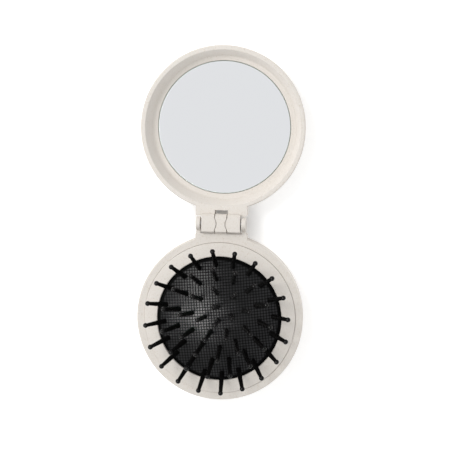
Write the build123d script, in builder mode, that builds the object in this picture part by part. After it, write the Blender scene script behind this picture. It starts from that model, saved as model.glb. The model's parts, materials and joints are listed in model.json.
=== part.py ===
"""A folding pocket hairbrush with a mirror, lying open on a table.

Two round halves of straw-filled plastic turn on one hinge. The base half is a ring in which a
cup slides up and down. The cup carries an air cushion of black rubber, set with nylon pins that
have ball tips. Pushing the cup up from behind raises the brush through the ring, as it stands
here. With the cup down, the lid half, a dish with a glass mirror, folds over and shuts on the ring.

Frame: +X along the hinge pin, +Y from the hinge to the lid, +Z up. The origin is on the table,
straight below the middle of the hinge. Millimetres.
"""

import os
from math import asin, cos, radians, sin, sqrt, tan

from build123d import *

os.makedirs("parts", exist_ok=True)

# ------------------------------------------------------------------ both halves
case_radius = 32.5  # outside of the base at the seam
lid_step = 0.5  # how far the lid stands in from the base, all round
case_draft = 0.6  # the outside of each half is this much smaller at the back
seam_height = 11.0  # the hinge axis and the seam above the table
seam_gap = 0.2  # between the two rims when shut
rim_round = 0.6  # rounding of the outer edge of each rim

# ------------------------------------------------------------------ hinge
hinge_stand = 4.5  # from the outside of the base to the hinge axis
tab_width = 20.0
tab_depth = 5.4
tab_round = 0.5
barrel_radius = 3.8
barrel_flat = 2.4  # height of the flats on a barrel, above and below the hinge axis
tongue_width = 4.4
knuckle_side_gap = 0.35  # each side of the tongue
knuckle_width = 4.95
boss_radius = 3.1  # foot of the domed boss on each knuckle, which sits in the tongue's side
boss_height = 1.4
ear_gap = 0.5  # between a knuckle and an ear
ear_width = 1.7
ear_radius = 2.6
ear_round = 0.3
turn_gap = 0.2  # round a barrel, to the tab it turns past
ear_turn_gap = 0.3  # round an ear, to the lid's tab
slot_clearance = 1.4  # round the tongue, to the end of its slot in the lid's tab
hinge_pin_radius = 1.0
hinge_pin_inset = 0.1  # each end of the hinge pin, inside the ear's face
hinge_pin_chamfer = 0.25
pin_running_gap = 0.06  # round the hinge pin, in the knuckles
pin_tongue_gap = 0.03  # round the hinge pin, in the tongue

# ------------------------------------------------------------------ base ring
base_wall = 2.85
foot_round = 1.0
slot_count = 3
slot_width = 6.0
slot_depth = 1.1
slot_first_angle = 30.0
key_gap = 0.2

# ------------------------------------------------------------------ lid and mirror
lid_wall = 1.8  # at the rim
lid_floor = 2.0
lid_back_round = 2.0
rim_inner_round = 0.3
wall_slope_run = 2.3  # how far the inside of the wall leans in, from the rim to the ledge
ledge_width = 1.95
ledge_corner_round = 1.0
mirror_thickness = 2.0
mirror_gap = 0.15  # round the mirror, in its seat
mirror_sink = 0.2  # the mirror's face below the ledge
mirror_chamfer = 0.2
tape_margin = 1.8  # from the edge of the mirror to the edge of its tape
tape_thickness = 0.8

# ------------------------------------------------------------------ brush cup, bezel and cushion
cup_side_gap = 0.12  # between the cup and the base ring
cup_floor = 1.2
cup_skirt = 1.5
cup_stand = 1.6  # top of the bezel above the seam, with the brush up
cup_low = 0.1  # underside of the cup above the table, with the brush down
thumb_dish_radius = 20.0
thumb_dish_depth = 0.4
key_height = 1.6
key_rise = 0.4  # underside of a key above the underside of the cup
seat_height = 0.8  # of the ring in the cup that the cushion's flange rests on
seat_width = 1.8
bezel_width = 5.28
bezel_thickness = 1.7  # beside the cushion
bezel_drop = 1.1  # of its top, from the cushion out to the case
bezel_round = 0.3
bezel_skirt_drop = 1.3
clip_gap = 0.2  # round the bezel's skirt, in its channel
cushion_gap = 0.15  # between the cushion's neck and the bezel
cushion_step = 0.2  # edge of the dome below the top of the bezel
cushion_skin = 1.2
cushion_flange = 0.8
flange_reach = 2.3  # of the flange, outside the cushion's neck
dome_rise = 5.5
dome_left = 0.12  # share of the dome's rise that is left when the brush is shut
dome_shoulder = 0.5  # rounding where the cushion's neck turns into its dome

# ------------------------------------------------------------------ pins
tip_gap = 0.3  # between the middle pin and the mirror when shut
pin_root_radius = 1.05
pin_neck_radius = 0.74  # under the ball
pin_ball_radius = 0.98
pin_hole_gap = 0.04
pin_head_radius = 1.6
pin_head_thickness = 0.7
pin_head_gap = 0.08  # between the cushion's inside and the nearest point of a pin's head
pin_margin = 2.8  # from the cushion's edge to the outermost pins
ring_count = 4
pins_per_ring = 5  # each ring has this many more than the one inside it
outer_lean = 35.0  # of the outermost pins, in degrees; the lean grows evenly from the middle
first_pin_angle = 94.2  # of the first pin of every ring, from +X, seen from above

# ------------------------------------------------------------------ places worked out from the sizes
hinge_reach = case_radius + hinge_stand
rim_top = seam_height - seam_gap / 2
tab_face = -(barrel_radius + turn_gap)
shoulder = ear_radius + ear_turn_gap
tongue_slot_end = barrel_radius + slot_clearance
tongue_side = tongue_width / 2
knuckle_start = tongue_side + knuckle_side_gap
knuckle_end = knuckle_start + knuckle_width
ear_start = knuckle_end + ear_gap
ear_end = ear_start + ear_width
bore_radius = case_radius - base_wall
cup_radius = bore_radius - cup_side_gap
skirt_inner = cup_radius - cup_skirt
cushion_radius = cup_radius - bezel_width - cushion_gap
flange_radius = cushion_radius + flange_reach
cup_height = cup_floor + seat_height + cushion_flange
cup_bottom = seam_height + cup_stand - bezel_thickness - cup_height
cup_travel = cup_bottom - cup_low
flange_bottom = cup_bottom + cup_floor + seat_height
flange_top = cup_bottom + cup_height
bezel_top = flange_top + bezel_thickness
dome_edge = bezel_top - cushion_step
dome_radius = (cushion_radius**2 + dome_rise**2) / (2 * dome_rise)
dome_middle = dome_edge + dome_rise - dome_radius
key_bottom = cup_bottom + key_rise
slot_bottom = key_bottom - cup_travel - key_gap
slot_top = key_bottom + key_height + key_gap
lid_radius = case_radius - lid_step
lid_rim_radius = lid_radius - lid_wall
ledge_radius = lid_rim_radius - wall_slope_run
seat_radius = ledge_radius - ledge_width
mirror_radius = seat_radius - mirror_gap
tape_top = lid_floor + tape_thickness
mirror_face = tape_top + mirror_thickness
ledge_height = mirror_face + mirror_sink
shut_mirror = 2 * seam_height - mirror_face
shut_dome_top = dome_edge - cup_travel + dome_left * dome_rise
pin_length = shut_mirror - shut_dome_top - tip_gap
ring_step = (cushion_radius - pin_margin) / ring_count

hinge_axis = Axis((0, 0, seam_height), (1, 0, 0))
base_axis = Axis((0, -hinge_reach, 0), (0, 0, 1))
lid_axis = Axis((0, hinge_reach, 0), (0, 0, 1))
base_side = Plane.XZ.offset(hinge_reach)  # upright through the middle of the base, X outwards
lid_side = Plane.XZ.offset(-hinge_reach)


def save(piece, name):
    """Labels a finished piece and writes it to its own file."""
    piece.part.label = name
    export_step(piece.part, f"parts/{name}.step")


def dome_height(radius):
    """Height of the cushion's outer face at a distance from its middle, with the brush up."""
    return dome_middle + sqrt(dome_radius**2 - radius**2)


def boss_arc(face):
    """Start, middle and end of a boss's outline, from the hinge axis out to the face it stands on."""
    sphere = (boss_radius**2 + boss_height**2) / (2 * boss_height)
    bulge = sqrt(sphere**2 - boss_radius**2 / 4) - sphere + boss_height
    return (
        (face - boss_height, seam_height),
        (face - bulge, seam_height + boss_radius / 2),
        (face, seam_height + boss_radius),
    )


def barrel_profile():
    """Hinge barrel seen along the pin: round, with a flat above and below."""
    with Locations((0, seam_height)):
        Circle(barrel_radius)
        Rectangle(2 * barrel_radius, 2 * barrel_flat, mode=Mode.INTERSECT)


def arm_profile(reach, height):
    """Arm that carries a barrel or an ear, from the hinge axis towards +Y or -Y, under the seam."""
    with Locations((reach / 2, rim_top - height / 2)):
        Rectangle(abs(reach), height)


def case_outline(radius):
    """Half of the outside of either half of the case, from its middle line to its leaning side."""
    return (0, 0), (radius - case_draft, 0), (radius, rim_top), (0, rim_top)


arm_height = barrel_flat - seam_gap / 2

# ------------------------------------------------------------------ base ring
# A ring with a foot, three key slots in its bore, and the hinge's tongue and two ears on a tab.
with BuildPart() as base_case:
    with BuildSketch(base_side):
        with BuildLine():
            Polyline(*case_outline(case_radius), close=True)
        make_face()
    revolve(axis=base_axis)
    outside = base_case.edges().filter_by(GeomType.CIRCLE).group_by(Axis.Z)
    fillet(outside[0], foot_round)
    fillet(outside[-1], rim_round)
    with BuildSketch(Plane.XY.offset(rim_top)):
        with Locations((0, (tab_face - hinge_reach) / 2)):
            Rectangle(tab_width, hinge_reach + tab_face)
    extrude(amount=-tab_depth)
    tab_end = base_case.edges().filter_by(GeomType.LINE).group_by(Axis.Y)[-1]
    fillet(tab_end.filter_by(Axis.Z), tab_round)
    # The tongue's sides are hollowed for the knuckles' bosses.
    with BuildSketch(Plane.YZ):
        barrel_profile()
        arm_profile(tab_face - tab_round, arm_height)
    extrude(amount=tongue_side, both=True)
    with BuildSketch(Plane.XZ):
        with BuildLine():
            start, middle, end = boss_arc(tongue_side)
            ThreePointArc(start, middle, end)
            Polyline(end, (tongue_side, seam_height), start)
        make_face()
        mirror(about=Plane.YZ)
    revolve(axis=hinge_axis, mode=Mode.SUBTRACT)
    with BuildSketch(Plane.YZ.offset(ear_start)):
        with Locations((0, seam_height)):
            Circle(ear_radius)
        arm_profile(tab_face - tab_round, ear_radius - seam_gap / 2)
    ear = extrude(amount=ear_width)
    mirror(ear, about=Plane.YZ)
    ear_rims = base_case.edges().filter_by(GeomType.CIRCLE).filter_by(
        lambda edge: abs(edge.radius - ear_radius) < pin_tongue_gap
    )
    fillet(ear_rims, ear_round)
    # The pin is pressed into the ears and passes through the tongue.
    with BuildSketch(Plane.YZ):
        with Locations((0, seam_height)):
            Circle(hinge_pin_radius + pin_tongue_gap)
    extrude(amount=tongue_width, both=True, mode=Mode.SUBTRACT)
    with BuildSketch(Plane.YZ):
        with Locations((0, seam_height)):
            Circle(hinge_pin_radius)
    extrude(amount=tab_width, both=True, mode=Mode.SUBTRACT)
    with BuildSketch():
        with Locations((0, -hinge_reach)):
            Circle(bore_radius)
    extrude(amount=seam_height, mode=Mode.SUBTRACT)
    with BuildSketch(Plane.XY.offset(slot_bottom)):
        with Locations((0, -hinge_reach)):
            with PolarLocations(bore_radius, slot_count, start_angle=slot_first_angle):
                Rectangle(2 * slot_depth, slot_width)
    extrude(amount=slot_top - slot_bottom, mode=Mode.SUBTRACT)
save(base_case, "base_case")

# A plain steel pin, pressed into the ears and free in the knuckles.
with BuildPart() as hinge_pin:
    hinge_pin_half = ear_end - hinge_pin_inset
    with BuildSketch(Plane.YZ):
        with Locations((0, seam_height)):
            Circle(hinge_pin_radius)
    extrude(amount=hinge_pin_half, both=True)
    pin_ends = hinge_pin.edges().filter_by(GeomType.CIRCLE).group_by(Axis.X)
    chamfer(pin_ends[0] + pin_ends[-1], hinge_pin_chamfer)
save(hinge_pin, "hinge_pin")

# ------------------------------------------------------------------ lid
# A dish whose sloping wall ends in a ledge round the mirror's seat, with two knuckles on a tab.
with BuildPart() as lid_case:
    with BuildSketch(lid_side):
        with BuildLine():
            Polyline(*case_outline(lid_radius), close=True)
        make_face()
    revolve(axis=lid_axis)
    outside = lid_case.edges().filter_by(GeomType.CIRCLE).group_by(Axis.Z)
    fillet(outside[0], lid_back_round)
    fillet(outside[-1], rim_round)
    with BuildSketch(Plane.XY.offset(rim_top)):
        with Locations((0, (shoulder + hinge_reach) / 2)):
            Rectangle(tab_width, hinge_reach - shoulder)
    extrude(amount=-tab_depth)
    tab_end = lid_case.edges().filter_by(GeomType.LINE).group_by(Axis.Y)[0]
    fillet(tab_end.filter_by(Axis.Z), tab_round)
    with BuildSketch(Plane.XY.offset(rim_top)):
        with Locations((0, tongue_slot_end / 2)):
            Rectangle(2 * knuckle_start, tongue_slot_end)
    extrude(amount=-tab_depth, mode=Mode.SUBTRACT)
    with BuildSketch(Plane.YZ.offset(knuckle_start)):
        barrel_profile()
        arm_profile(tongue_slot_end, arm_height)
    knuckle = extrude(amount=knuckle_width)
    mirror(knuckle, about=Plane.YZ)
    # A domed boss on each knuckle centres it in the tongue's side.
    with BuildSketch(Plane.YZ.offset(knuckle_start - boss_height)):
        barrel_profile()
    boss = extrude(amount=boss_height)
    mirror(boss, about=Plane.YZ)
    with BuildSketch(Plane.XZ):
        with BuildLine():
            start, middle, end = boss_arc(knuckle_start)
            ThreePointArc(start, middle, end)
            beyond = seam_height + barrel_radius + turn_gap
            Polyline(end, (knuckle_start, beyond), (0, beyond), (0, seam_height), start)
        make_face()
        mirror(about=Plane.YZ)
    revolve(axis=hinge_axis, mode=Mode.SUBTRACT)
    with BuildSketch(Plane.YZ):
        with Locations((0, seam_height)):
            Circle(hinge_pin_radius + pin_running_gap)
    extrude(amount=tab_width, both=True, mode=Mode.SUBTRACT)
    with BuildSketch(lid_side):
        with BuildLine():
            Polyline(
                (0, lid_floor),
                (seat_radius, lid_floor),
                (seat_radius, ledge_height),
                (ledge_radius, ledge_height),
                (lid_rim_radius, rim_top),
                (0, rim_top),
                close=True,
            )
        make_face()
    revolve(axis=lid_axis, mode=Mode.SUBTRACT)
    ledge_corner = lid_case.edges().filter_by(GeomType.CIRCLE).filter_by(
        lambda edge: abs(edge.radius - ledge_radius) < mirror_chamfer
    )
    fillet(ledge_corner.filter_by_position(Axis.Z, mirror_face, rim_top), ledge_corner_round)
    rim_corner = lid_case.edges().filter_by(GeomType.CIRCLE).filter_by(
        lambda edge: abs(edge.radius - lid_rim_radius) < mirror_chamfer
    )
    fillet(rim_corner.group_by(Axis.Z)[-1], rim_inner_round)
save(lid_case, "lid_case")

with BuildPart() as mirror_glass:
    with BuildSketch(Plane.XY.offset(tape_top)):
        with Locations((0, hinge_reach)):
            Circle(mirror_radius)
    extrude(amount=mirror_thickness)
    chamfer(mirror_glass.edges().filter_by(GeomType.CIRCLE), mirror_chamfer)
save(mirror_glass, "mirror_glass")

# Foam tape that holds the mirror in its seat.
with BuildPart() as mirror_tape:
    with BuildSketch(Plane.XY.offset(lid_floor)):
        with Locations((0, hinge_reach)):
            Circle(mirror_radius - tape_margin)
    extrude(amount=tape_thickness)
save(mirror_tape, "mirror_tape")

# ------------------------------------------------------------------ brush cup
# The sliding cup: a floor dished for a thumb, a skirt with three keys, and the cushion's seat.
with BuildPart() as brush_cup:
    with BuildSketch(Plane.XY.offset(cup_bottom)):
        with Locations((0, -hinge_reach)):
            Circle(cup_radius)
    extrude(amount=cup_height)
    with BuildSketch(Plane.XY.offset(cup_bottom + cup_floor)):
        with Locations((0, -hinge_reach)):
            Circle(skirt_inner)
            Circle(flange_radius, mode=Mode.SUBTRACT)
            Circle(flange_radius - seat_width)
    extrude(amount=cup_height, mode=Mode.SUBTRACT)
    with BuildSketch(Plane.XY.offset(flange_bottom)):
        with Locations((0, -hinge_reach)):
            Circle(flange_radius)
    extrude(amount=cup_height, mode=Mode.SUBTRACT)
    with BuildSketch(base_side):
        dish_sphere = (thumb_dish_radius**2 + thumb_dish_depth**2) / (2 * thumb_dish_depth)
        halfway = thumb_dish_radius / 2
        halfway_depth = sqrt(dish_sphere**2 - halfway**2) - dish_sphere + thumb_dish_depth
        with BuildLine():
            ThreePointArc(
                (0, cup_bottom + thumb_dish_depth),
                (halfway, cup_bottom + halfway_depth),
                (thumb_dish_radius, cup_bottom),
            )
            Polyline(
                (thumb_dish_radius, cup_bottom),
                (0, cup_bottom),
                (0, cup_bottom + thumb_dish_depth),
            )
        make_face()
    revolve(axis=base_axis, mode=Mode.SUBTRACT)
    with BuildSketch(Plane.XY.offset(key_bottom)):
        key_reach = slot_depth - key_gap + cup_side_gap
        with Locations((0, -hinge_reach)):
            with PolarLocations(cup_radius, slot_count, start_angle=slot_first_angle):
                Rectangle(2 * key_reach, slot_width - 2 * key_gap)
            Circle(skirt_inner, mode=Mode.SUBTRACT)
    extrude(amount=key_height)
save(brush_cup, "brush_cup")

# The bezel clamps the cushion's flange and clips into the channel round the cup's seat.
with BuildPart() as cushion_bezel:
    with BuildSketch(base_side):
        clip_inner = flange_radius + clip_gap
        clip_outer = skirt_inner - clip_gap
        with BuildLine():
            Polyline(
                (cushion_radius + cushion_gap, flange_top),
                (clip_inner, flange_top),
                (clip_inner, flange_top - bezel_skirt_drop),
                (clip_outer, flange_top - bezel_skirt_drop),
                (clip_outer, flange_top),
                (cup_radius, flange_top),
                (cup_radius, bezel_top - bezel_drop),
                (cushion_radius + cushion_gap, bezel_top),
                close=True,
            )
        make_face()
    revolve(axis=base_axis)
    rims = cushion_bezel.edges().filter_by(GeomType.CIRCLE)
    outer_rim = rims.filter_by_position(Axis.Z, flange_top, bezel_top, (False, False))
    fillet(outer_rim + rims.group_by(Axis.Z)[-1], bezel_round)
save(cushion_bezel, "cushion_bezel")


# ------------------------------------------------------------------ pins
def pin_place(radius, angle, lean):
    """Plane at a pin's root on the dome, with its Z along the pin."""
    across, along = cos(radians(angle)), sin(radians(angle))
    root = (radius * across, radius * along - hinge_reach, dome_height(radius))
    outwards = sin(radians(lean))
    pin_line = (outwards * across, outwards * along, cos(radians(lean)))
    return Plane(root, x_dir=(-along, across, 0), z_dir=pin_line)


pin_places = {"pin_0_01": pin_place(0, 0, 0)}
for ring in range(1, ring_count + 1):
    for number in range(ring * pins_per_ring):
        angle = first_pin_angle - number * 360 / (ring * pins_per_ring)
        place = pin_place(ring * ring_step, angle, outer_lean * ring / ring_count)
        pin_places[f"pin_{ring}_{number + 1:02d}"] = place

# Each pin is moulded in one piece: a flat head inside the cushion, a tapered shaft and a ball tip.
# The outermost pins lean out further than the dome does, which tilts their heads under its skin.
outer_tilt = radians(outer_lean) - asin(ring_count * ring_step / dome_radius)
head_top = -(cushion_skin + pin_head_gap) / cos(outer_tilt) - pin_head_radius * tan(abs(outer_tilt))
head_bottom = head_top - pin_head_thickness
ball_centre = pin_length - pin_ball_radius
neck_height = ball_centre - sqrt(pin_ball_radius**2 - pin_neck_radius**2)
for name, place in pin_places.items():
    with BuildPart() as pin:
        with BuildSketch(Plane(place.origin, x_dir=place.x_dir, z_dir=-place.y_dir)):
            with BuildLine():
                Polyline(
                    (0, pin_length),
                    (0, head_bottom),
                    (pin_head_radius, head_bottom),
                    (pin_head_radius, head_top),
                    (pin_root_radius, head_top),
                    (pin_root_radius, 0),
                    (pin_neck_radius, neck_height),
                )
                ThreePointArc(
                    (pin_neck_radius, neck_height),
                    (pin_ball_radius, ball_centre),
                    (0, pin_length),
                )
            make_face()
        revolve(axis=Axis(place.origin, place.z_dir))
    save(pin, name)

# ------------------------------------------------------------------ cushion
# A rubber skin with a flange at the foot of its neck, a domed top, and a hole for each pin.
neck_inner = cushion_radius - cushion_skin
inner_dome = dome_radius - cushion_skin
inner_edge = dome_middle + sqrt(inner_dome**2 - neck_inner**2)
with BuildPart() as cushion:
    with BuildSketch(base_side):
        with BuildLine():
            Line((0, dome_middle + inner_dome), (0, dome_middle + dome_radius))
            ThreePointArc(
                (0, dome_middle + dome_radius),
                (cushion_radius / 2, dome_height(cushion_radius / 2)),
                (cushion_radius, dome_edge),
            )
            Polyline(
                (cushion_radius, dome_edge),
                (cushion_radius, flange_top),
                (flange_radius, flange_top),
                (flange_radius, flange_bottom),
                (neck_inner, flange_bottom),
                (neck_inner, inner_edge),
            )
            ThreePointArc(
                (neck_inner, inner_edge),
                (neck_inner / 2, dome_middle + sqrt(inner_dome**2 - neck_inner**2 / 4)),
                (0, dome_middle + inner_dome),
            )
        make_face()
    revolve(axis=base_axis)
    shoulder_edge = cushion.edges().filter_by(GeomType.CIRCLE).filter_by(
        lambda edge: abs(edge.radius - cushion_radius) < cushion_gap
    )
    fillet(shoulder_edge.group_by(Axis.Z)[-1], dome_shoulder)
    for place in pin_places.values():
        with BuildSketch(place):
            Circle(pin_root_radius + pin_hole_gap)
        extrude(amount=2 * cushion_skin, both=True, mode=Mode.SUBTRACT)
save(cushion, "cushion")
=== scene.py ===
"""A folding pocket hairbrush with a mirror, lying open on a pale table.

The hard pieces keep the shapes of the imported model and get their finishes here. The rubber cushion
is made here, with the fine net that is moulded into it. Metres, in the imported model's own frame.
"""

import json
from math import cos, hypot, pi, radians, sin, sqrt

import bpy
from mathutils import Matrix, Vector


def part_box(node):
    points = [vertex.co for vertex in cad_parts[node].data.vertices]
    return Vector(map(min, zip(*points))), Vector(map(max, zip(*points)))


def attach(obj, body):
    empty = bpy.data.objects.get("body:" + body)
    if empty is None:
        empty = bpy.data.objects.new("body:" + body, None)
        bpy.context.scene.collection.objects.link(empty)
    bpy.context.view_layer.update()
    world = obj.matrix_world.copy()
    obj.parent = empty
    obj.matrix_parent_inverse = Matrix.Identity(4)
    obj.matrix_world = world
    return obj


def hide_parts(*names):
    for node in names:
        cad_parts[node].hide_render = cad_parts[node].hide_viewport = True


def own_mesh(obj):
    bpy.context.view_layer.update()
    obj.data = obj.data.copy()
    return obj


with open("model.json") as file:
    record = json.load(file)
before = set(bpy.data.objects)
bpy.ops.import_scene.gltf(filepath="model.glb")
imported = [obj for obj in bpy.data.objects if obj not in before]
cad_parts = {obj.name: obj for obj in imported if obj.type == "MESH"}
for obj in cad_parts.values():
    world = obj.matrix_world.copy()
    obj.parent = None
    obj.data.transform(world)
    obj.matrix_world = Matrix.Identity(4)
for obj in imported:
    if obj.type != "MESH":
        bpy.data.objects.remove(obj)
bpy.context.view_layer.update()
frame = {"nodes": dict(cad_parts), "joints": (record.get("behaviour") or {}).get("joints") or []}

nodes = frame["nodes"]
joint = {each["name"]: each for each in frame["joints"]}

# ------------------------------------------------------------------ camera
# A long lens high above the hinge. It leans a little to the right and towards the lid, so the
# pins on the near side of the brush look longer than those beside the hinge.
hinge_middle = Vector(joint["lid_hinge"]["pos_m"])
camera_data = bpy.data.cameras.new("camera")
camera_data.sensor_width = 36
camera_data.lens = 158.3
camera = bpy.data.objects.new("camera", camera_data)
bpy.context.scene.collection.objects.link(camera)
bpy.context.scene.camera = camera
camera.rotation_euler = (radians(-6.6), radians(5.7), radians(1.0))
aim = hinge_middle + Vector((0.0019, -0.0009, 0))
camera_distance = 0.77
camera.location = aim + camera.rotation_euler.to_matrix() @ Vector((0, 0, camera_distance))
camera_data.clip_start = 0.01

# ------------------------------------------------------------------ table and light
# A white table in a pale room. The key lamp stands over the lid's left shoulder. A panel on the left
# shows only in what is glossy, and puts the sheen on the rubber. The table glows a little, except
# round the hinge, so the shadows on it stay short and pale.
bpy.context.scene.view_settings.view_transform = "Standard"
bpy.context.scene.view_settings.look = "None"
bpy.ops.object.select_all(action="DESELECT")
bpy.ops.mesh.primitive_plane_add(size=6, location=(0, 0, 0))
table = bpy.context.object
table.name = "table"

room = bpy.data.worlds.new("room")
room.use_nodes = True
room.node_tree.nodes["Background"].inputs["Color"].default_value = (0.985, 0.995, 1.0, 1)
room.node_tree.nodes["Background"].inputs["Strength"].default_value = 0.8
bpy.context.scene.world = room

lamp_colour = (1.0, 0.985, 0.965)
for name, place, width, watts in (
    ("key_lamp", (-0.52, 0.47, 0.88), 0.55, 5.0),
    ("sheen_panel", (-0.37, -0.125, 0.93), 0.32, 8.4),
):
    lamp_data = bpy.data.lights.new(name, "AREA")
    lamp_data.shape = "DISK"
    lamp_data.size = width
    lamp_data.energy = watts
    lamp_data.color = lamp_colour
    lamp = bpy.data.objects.new(name, lamp_data)
    bpy.context.scene.collection.objects.link(lamp)
    lamp.location = place
    lamp.rotation_euler = (hinge_middle - lamp.location).to_track_quat("-Z", "Y").to_euler()
    lamp.visible_diffuse = name == "key_lamp"


# ------------------------------------------------------------------ finishes in general
# Every finish is a tree of shader nodes, written here as sums on sockets.
class Socket:
    """An output socket of a shader tree, on which arithmetic adds Math nodes."""

    def __init__(self, finish, socket):
        self.finish, self.socket = finish, socket

    def maths(self, operation, *values):
        return self.finish.node("ShaderNodeMath", {"operation": operation}, dict(enumerate(values)))

    def __add__(self, other):
        return self.maths("ADD", self, other)

    def __rsub__(self, other):
        return self.maths("SUBTRACT", other, self)

    def __mul__(self, other):
        return self.maths("MULTIPLY", self, other)

    __radd__, __rmul__ = __add__, __mul__


class Finish:
    """A material whose shader is built up node by node."""

    def __init__(self, name, **constants):
        self.material = bpy.data.materials.new(name)
        self.material.use_nodes = True
        self.tree = self.material.node_tree
        self.shader = self.tree.nodes["Principled BSDF"]
        for socket, value in constants.items():
            self.shader.inputs[socket.replace("_", " ")].default_value = value
        self.place = self.node("ShaderNodeTexCoord", {}, {}, "Object")

    def node(self, kind, settings, inputs, output=0):
        made = self.tree.nodes.new(kind)
        for name, value in settings.items():
            setattr(made, name, value)
        for name, value in inputs.items():
            if isinstance(value, Socket):
                self.tree.links.new(value.socket, made.inputs[name])
            else:
                made.inputs[name].default_value = value
        return Socket(self, made.outputs[output])

    def feed(self, **links):
        for name, value in links.items():
            self.tree.links.new(value.socket, self.shader.inputs[name.replace("_", " ")])

    def noise(self, scale, detail=2.0, place=None):
        inputs = {"Vector": place or self.place, "Scale": scale, "Detail": detail}
        return self.node("ShaderNodeTexNoise", {}, inputs)

    def between(self, value, low, high):
        """How far value is from low to high, held at 0 and 1."""
        inputs = {"Value": value, "From Min": low, "From Max": high}
        return self.node("ShaderNodeMapRange", {"clamp": True}, inputs)

    def blend(self, share, first, second):
        """A colour that goes from first to second."""
        settings = {"data_type": "RGBA"}
        return self.node("ShaderNodeMix", settings, {0: share, 6: first, 7: second}, 2)

    def bump(self, height, distance, strength=1.0):
        inputs = {"Height": height, "Distance": distance, "Strength": strength}
        return self.node("ShaderNodeBump", {}, inputs)


def paint(finish, slot, *pieces):
    """Gives pieces one finish. The argument slot, the record's slot that it stands for, is not used.
    """
    for piece in pieces:
        piece.data.materials.clear()
        piece.data.materials.append(finish.material)


table_finish = Finish("white_table", Roughness=0.9, Emission_Strength=0.3)
table_tone = table_finish.noise(3.0)
white, near_white = (0.93, 0.93, 0.93, 1), (0.915, 0.915, 0.915, 1)
from_hinge = table_finish.node(
    "ShaderNodeVectorMath",
    {"operation": "DISTANCE"},
    {0: table_finish.place, 1: (0, 0, 0)},
    "Value",
)
# Painted light and shade: the table glows everywhere except near the hinge, where the glow fades out
# and paints a shade round the hinge.
glow_starts, glow_is_full = 0.004, 0.016  # from the origin, which is under the hinge
glow = table_finish.between(from_hinge, glow_starts, glow_is_full)
table_finish.feed(
    Base_Color=table_finish.blend(table_tone, white, near_white),
    Emission_Color=table_finish.blend(glow, (0, 0, 0, 1), (1, 1, 1, 1)),
)
table.data.materials.append(table_finish.material)

# ------------------------------------------------------------------ case, cup and bezel
# Cream polypropylene filled with ground wheat straw, matt from the mould. Short straw fibres lie
# every way just under the skin: most are a little darker than the plastic, and a few are paler.
straw = Finish("straw_plastic", Specular_IOR_Level=0.3)
fibre_edge = 0.05  # of the noise, from no fibre to a full one


def fibres(turn, rarity, shift):
    """Mask of fibres that lie along one direction, about a millimetre long."""
    settings = {"vector_type": "TEXTURE"}
    fibre_size = (1 / 900, 1 / 5200, 1 / 3000)
    inputs = {
        "Vector": straw.place,
        "Location": (shift,) * 3,
        "Rotation": (0, 0, turn),
        "Scale": fibre_size,
    }
    along = straw.node("ShaderNodeMapping", settings, inputs)
    return straw.between(straw.noise(1.0, 1.0, along), rarity, rarity + fibre_edge)


cream = (0.717, 0.676, 0.632, 1)
warm_cream = (0.696, 0.652, 0.600, 1)
straw_brown = (0.47, 0.38, 0.26, 1)
straw_pale = (0.815, 0.785, 0.74, 1)
tone = straw.blend(straw.noise(260.0), cream, warm_cream)
for turn, shift in ((0.2, 0.0), (1.25, 0.013), (2.3, 0.027)):
    tone = straw.blend(fibres(turn, 0.68, shift) * 0.5, tone, straw_brown)
tone = straw.blend(fibres(0.8, 0.69, 0.041) * 0.6, tone, straw_pale)
skin = straw.noise(4200.0, 3.0)
straw.feed(
    Base_Color=tone,
    Roughness=0.5 + 0.16 * straw.noise(900.0),
    Normal=straw.bump(skin, 0.00003, 0.35),
)
straw_pieces = ("base_case", "lid_case", "brush_cup", "cushion_bezel")
paint(straw, "straw_plastic", *(nodes[name] for name in straw_pieces))

# ------------------------------------------------------------------ hinge pin
# Plain drawn steel wire, bright, with fine scratches along it.
steel = Finish("steel_wire", Metallic=1.0)
wire_place = steel.node(
    "ShaderNodeMapping", {}, {"Vector": steel.place, "Scale": (300, 9000, 9000)}
)
scratches = steel.noise(1.0, 3.0, wire_place)
steel.feed(
    Base_Color=steel.blend(scratches, (0.50, 0.50, 0.51, 1), (0.66, 0.66, 0.67, 1)),
    Roughness=0.22 + 0.2 * scratches,
)
paint(steel, "steel", nodes["hinge_pin"])

# ------------------------------------------------------------------ mirror
# Float glass, silvered behind, with a ground edge and the faint haze of handling on its face.
mirror_low, mirror_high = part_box("mirror_glass")
mirror_middle = (mirror_low + mirror_high) / 2
mirror_radius = (mirror_high.x - mirror_low.x) / 2
ground_edge = 0.0003
silver = Finish("silvered_glass", Metallic=1.0)
from_middle = silver.node(
    "ShaderNodeVectorMath",
    {"operation": "DISTANCE"},
    {0: silver.place, 1: (mirror_middle.x, mirror_middle.y, mirror_high.z)},
    "Value",
)
edge = silver.between(from_middle, mirror_radius - ground_edge, mirror_radius - ground_edge / 2)
haze = silver.noise(55.0, 4.0)
silver.feed(
    Base_Color=silver.blend(edge, (0.945, 0.95, 0.97, 1), (0.62, 0.70, 0.67, 1)),
    Roughness=0.012 + 0.03 * haze + 0.3 * edge,
)
paint(silver, "mirror", nodes["mirror_glass"])

# ------------------------------------------------------------------ foam tape
# White closed-cell foam behind the mirror, with open pores on its cut edge.
foam = Finish("foam_tape", Roughness=0.9)
pores = foam.noise(6000.0, 2.0)
foam.feed(
    Base_Color=foam.blend(pores, (0.70, 0.70, 0.68, 1), (0.88, 0.88, 0.86, 1)),
    Normal=foam.bump(pores, 0.0001),
)
paint(foam, "foam", nodes["mirror_tape"])

# ------------------------------------------------------------------ pins
# Black nylon, moulded in one piece with a ball tip, glossy, with a roughness that varies at random.
nylon = Finish("black_nylon", Specular_IOR_Level=0.14)
flow = nylon.noise(1800.0, 2.0)
nylon.feed(
    Base_Color=nylon.blend(flow, (0.003, 0.003, 0.003, 1), (0.006, 0.0057, 0.0055, 1)),
    Roughness=0.12 + 0.12 * flow,
)
pins = [node for name, node in sorted(nodes.items()) if name.startswith("pin_")]
paint(nylon, "pin_nylon", *pins)

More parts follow.
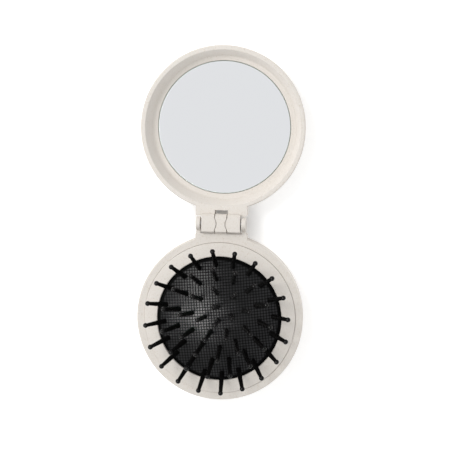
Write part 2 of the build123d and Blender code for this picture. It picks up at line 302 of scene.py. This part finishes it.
# ------------------------------------------------------------------ cushion
# Black rubber blown out by the air under it. Rows of small pads with a net of grooves between them
# are moulded into the top, short of its smooth edge. Made as a flat sheet, cut round, and domed.
cushion_low, cushion_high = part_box("cushion")
cushion_middle = (cushion_low + cushion_high) / 2
bezel_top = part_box("cushion_bezel")[1].z
edge_below_bezel = 0.0002
dome_edge = bezel_top - edge_below_bezel
dome_bottom = dome_edge - 0.0001
neck_top = dome_edge - 0.0002
dome_top = cushion_high.z
flange_radius = (cushion_high.x - cushion_low.x) / 2
flange_width = 0.0023
neck_radius = flange_radius - flange_width
skin_thickness = 0.0012
flange_thickness = 0.0008
smooth_edge = 0.0010  # of the top, outside the net
net_radius = neck_radius - smooth_edge
edge_loop = 0.0004  # from the net to the next loop of the mesh
shoulder = 0.0005  # radius of the dome's rounded edge
net_pitch = 0.0011
net_fade = net_pitch / 2  # from the edge of the net to its first full pads
net_depth = 0.00007
net_turn = radians(6)
pad_steps = 7  # of the mesh, across one pad
pad_steepness = 1.8  # the higher it is, the flatter the pads and the narrower the grooves
dome_rise = dome_top - dome_edge
dome_radius = (neck_radius**2 + dome_rise**2) / (2 * dome_rise)


def dome_height(radius, sunk=0.0):
    """Height of the dome at a distance from its middle, or of its inside, sunk under it."""
    reach = min(radius, neck_radius)
    return dome_edge + dome_rise - dome_radius + sqrt((dome_radius - sunk) ** 2 - reach**2)


def ring_out(radius, height):
    """Extrudes the selected loop to a new circle round the middle of the cushion."""
    bpy.ops.mesh.extrude_edges_move()
    mesh = bpy.context.object.data
    bpy.ops.object.mode_set(mode="OBJECT")
    for vertex in mesh.vertices:
        if vertex.select:
            x, y = vertex.co.x - cushion_middle.x, vertex.co.y - cushion_middle.y
            out = radius / hypot(x, y)
            vertex.co = (cushion_middle.x + x * out, cushion_middle.y + y * out, height)
    bpy.ops.object.mode_set(mode="EDIT")


pads_across = 2 * int(net_radius / net_pitch + 1)
net_size = pads_across * net_pitch
bpy.ops.object.select_all(action="DESELECT")
bpy.ops.mesh.primitive_grid_add(
    x_subdivisions=pads_across * pad_steps,
    y_subdivisions=pads_across * pad_steps,
    size=net_size,
    location=(cushion_middle.x, cushion_middle.y, dome_edge),
    rotation=(0, 0, net_turn),
)
dome = bpy.context.object
dome.name = "cushion_dome"
bpy.ops.object.transform_apply(location=True, rotation=True, scale=True)
bpy.ops.object.mode_set(mode="EDIT")
bpy.ops.mesh.select_mode(type="FACE")
bpy.ops.mesh.select_all(action="DESELECT")
bpy.ops.object.mode_set(mode="OBJECT")
for face in dome.data.polygons:
    x, y = face.center.x - cushion_middle.x, face.center.y - cushion_middle.y
    face.select = hypot(x, y) > net_radius
bpy.ops.object.mode_set(mode="EDIT")
bpy.ops.mesh.delete(type="FACE")
bpy.ops.mesh.select_mode(type="EDGE")
bpy.ops.mesh.select_all(action="SELECT")
bpy.ops.mesh.region_to_loop()
bpy.ops.object.mode_set(mode="OBJECT")
pad_share = dome.data.attributes.new("pad", "FLOAT", "POINT")
for vertex in dome.data.vertices:
    x, y = vertex.co.x - cushion_middle.x, vertex.co.y - cushion_middle.y
    radius = hypot(x, y)
    if vertex.select:
        x, y = x * net_radius / radius, y * net_radius / radius
        pad = 0
    else:
        across = x * cos(net_turn) + y * sin(net_turn)
        along = y * cos(net_turn) - x * sin(net_turn)
        wave = abs(sin(pi * across / net_pitch) * sin(pi * along / net_pitch))
        pad = min(1, pad_steepness * wave) * min(1, (net_radius - radius) / net_fade)
    pad_share.data[vertex.index].value = pad
    height = dome_height(hypot(x, y)) + net_depth * pad
    vertex.co = (cushion_middle.x + x, cushion_middle.y + y, height)
bpy.ops.object.mode_set(mode="EDIT")
for radius in (net_radius + edge_loop, neck_radius - shoulder):
    ring_out(radius, dome_height(radius))
for turn in (30, 60, 90):
    out, down = sin(radians(turn)), 1 - cos(radians(turn))
    shoulder_top = dome_height(neck_radius - shoulder)
    ring_out(neck_radius - shoulder * (1 - out), shoulder_top - shoulder * down)
inside_radius = neck_radius - skin_thickness
ring_out(neck_radius, dome_bottom)
ring_out(inside_radius, dome_bottom)
for share in (0.98, 0.8, 0.6, 0.4, 0.2, 0.05):
    radius = inside_radius * share
    ring_out(radius, dome_height(radius, skin_thickness))
bpy.ops.mesh.merge(type="CENTER")
bpy.ops.mesh.select_all(action="SELECT")
bpy.ops.mesh.normals_make_consistent(inside=False)
bpy.ops.object.mode_set(mode="OBJECT")
bpy.ops.object.shade_smooth()

# The neck and flange under the dome are clamped by the bezel, and keep their shape.
bpy.ops.object.select_all(action="DESELECT")
bpy.ops.mesh.primitive_circle_add(
    vertices=160,
    radius=inside_radius,
    location=(cushion_middle.x, cushion_middle.y, neck_top),
)
neck = bpy.context.object
neck.name = "cushion_neck"
bpy.ops.object.transform_apply(location=True, rotation=True, scale=True)
bpy.ops.object.mode_set(mode="EDIT")
bpy.ops.mesh.select_all(action="SELECT")
flange_top = cushion_low.z + flange_thickness
for radius, height in (
    (neck_radius, neck_top),
    (neck_radius, flange_top),
    (flange_radius, flange_top),
    (flange_radius, cushion_low.z),
    (inside_radius, cushion_low.z),
    (inside_radius, neck_top),
):
    ring_out(radius, height)
bpy.ops.mesh.select_all(action="SELECT")
bpy.ops.mesh.remove_doubles(threshold=0.00001)
bpy.ops.mesh.normals_make_consistent(inside=False)
bpy.ops.object.mode_set(mode="OBJECT")
bpy.ops.object.shade_smooth_by_angle(angle=radians(40))

# The tops of the pads are polished, as if under a thin coat, and the grooves are dull.
rubber = Finish("cushion_rubber", Specular_IOR_Level=0.03, Coat_Roughness=0.16)
on_pads = rubber.node("ShaderNodeAttribute", {"attribute_name": "pad"}, {}, "Fac")
bloom = rubber.between(rubber.noise(95.0, 3.0), 0.38, 0.62)
grain = rubber.noise(9000.0, 2.0)
rubber.feed(
    # Painted shade: the grooves and the smooth edge round the net are coloured darker than the pad
    # tops.
    Base_Color=rubber.blend(on_pads, (0.001, 0.001, 0.001, 1), (0.014, 0.014, 0.015, 1)),
    Roughness=0.5 - 0.2 * on_pads + 0.12 * bloom,
    Coat_Weight=0.45 * on_pads * (1.25 - 0.5 * bloom),
    Normal=rubber.bump(grain, 0.00002, 0.4),
)
paint(rubber, "cushion_rubber", dome, neck)
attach(dome, "brush")
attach(neck, "brush")
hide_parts("cushion")
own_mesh(dome)
